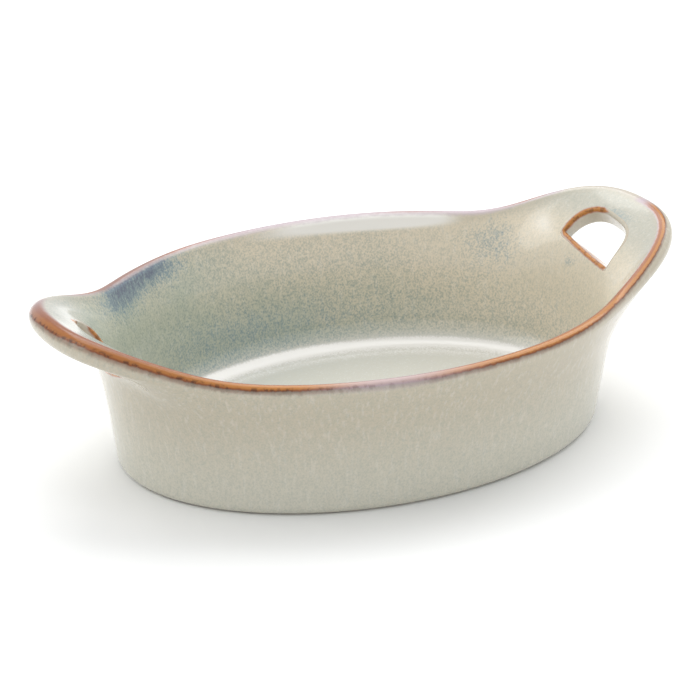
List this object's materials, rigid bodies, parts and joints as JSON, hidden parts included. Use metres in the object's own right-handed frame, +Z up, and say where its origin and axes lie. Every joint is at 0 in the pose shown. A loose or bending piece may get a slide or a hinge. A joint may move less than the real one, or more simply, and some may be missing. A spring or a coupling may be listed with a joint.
{
  "type": "oval baking dish",
  "caption": "Oval stoneware baking dish with a flared rim and a raised lug handle at each end, pierced by a D-shaped finger hole.",
  "frame": {"origin": "middle of the foot, on the surface that the dish stands on", "axes": "+X along the dish through both handles, +Y across it, +Z up out of the open top"},
  "size_m": [0.281, 0.175, 0.0755],
  "materials": {
    "glazed_stoneware": "glossy reactive glaze, sage grey and beige with teal speckle, breaking to copper brown on the edges"
  },
  "bodies": {
    "root": {"baking_dish": "glazed_stoneware"}
  },
  "joints": []
}
